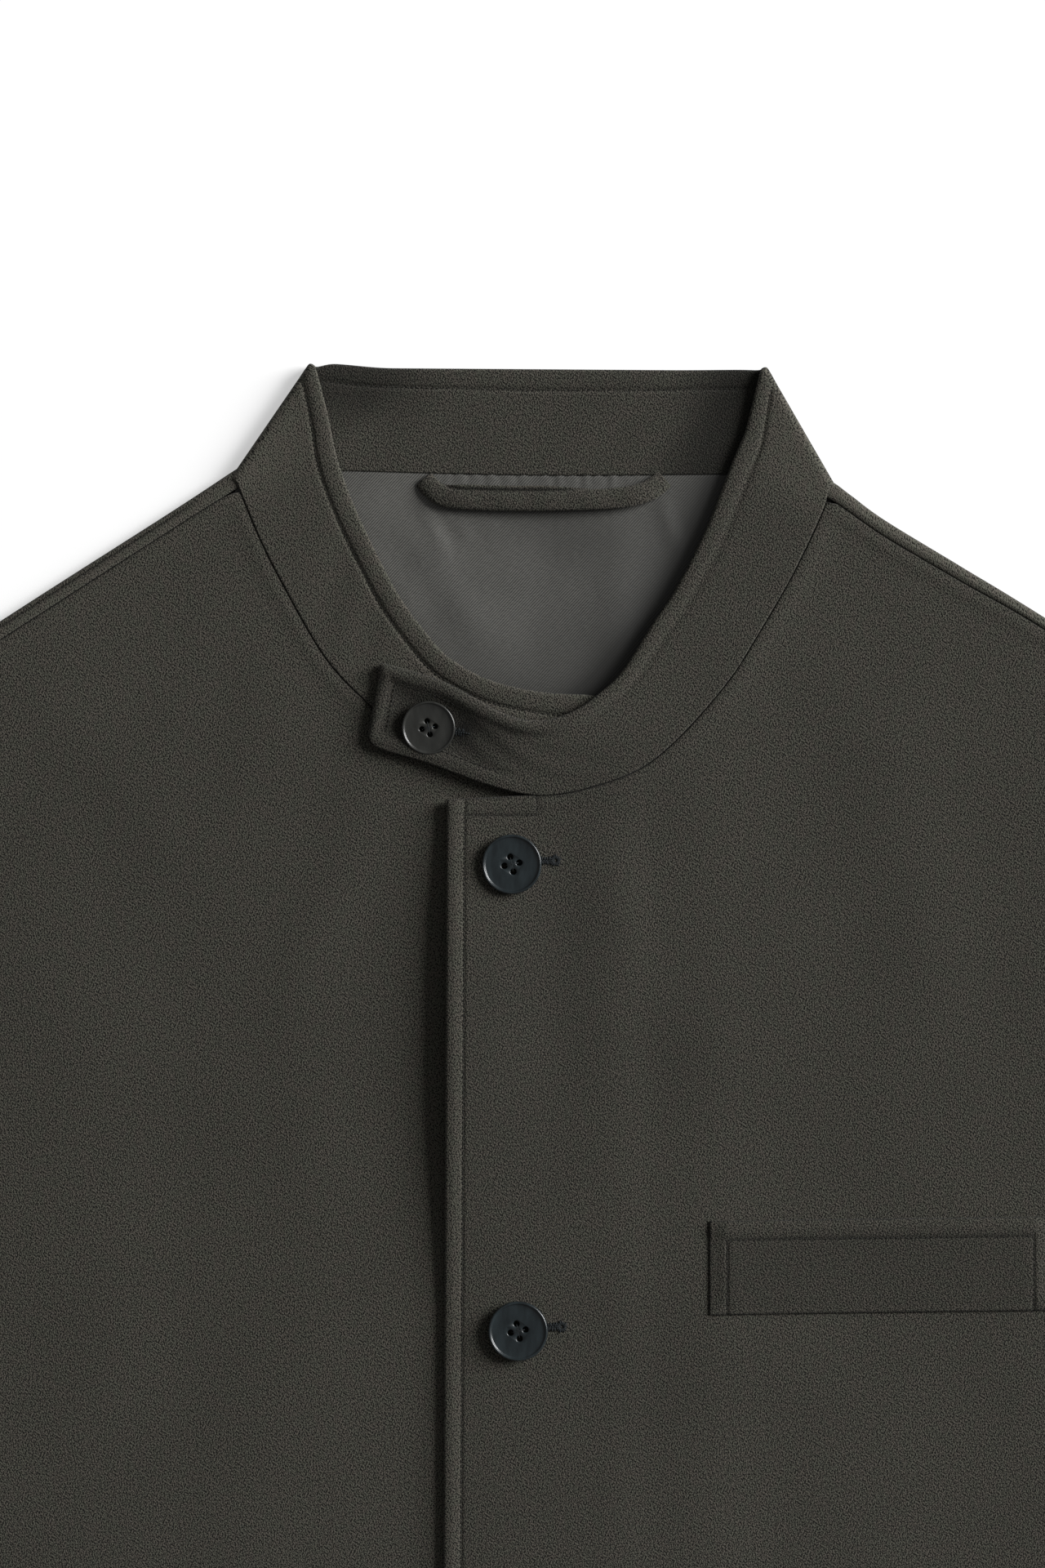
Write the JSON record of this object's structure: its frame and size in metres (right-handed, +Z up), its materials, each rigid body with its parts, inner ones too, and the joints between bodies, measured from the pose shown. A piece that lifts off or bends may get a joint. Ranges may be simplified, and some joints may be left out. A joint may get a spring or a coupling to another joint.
{
  "type": "stand collar overshirt",
  "caption": "Wool overshirt with a stand collar closed by a buttoned tab, a buttoned front and a welt chest pocket, laid flat on its back with its sleeves at its sides.",
  "frame": {"origin": "on the surface it lies on, under the middle of the laid-out garment", "axes": "+X across the body to the right as it is seen, +Y from the hem to the collar, +Z up from the surface"},
  "size_m": [1, 0.7571, 0.0126],
  "materials": {
    "wool_crepe": "dark olive wool crepe, matt, with a fine pebbled grain",
    "satin_lining": "grey twill lining with a satin sheen",
    "button": "blue-black, polished, with a raised rim"
  },
  "bodies": {
    "root": {"back": "wool_crepe", "front_under": "wool_crepe", "front_over": "wool_crepe", "sleeve_left": "wool_crepe", "sleeve_right": "wool_crepe", "collar": "wool_crepe", "pocket_welt": "wool_crepe", "hanger_loop": "wool_crepe", "back_lining": "satin_lining", "collar_button": "button", "front_button_1": "button", "front_button_2": "button", "front_button_3": "button", "front_button_4": "button"}
  },
  "joints": []
}
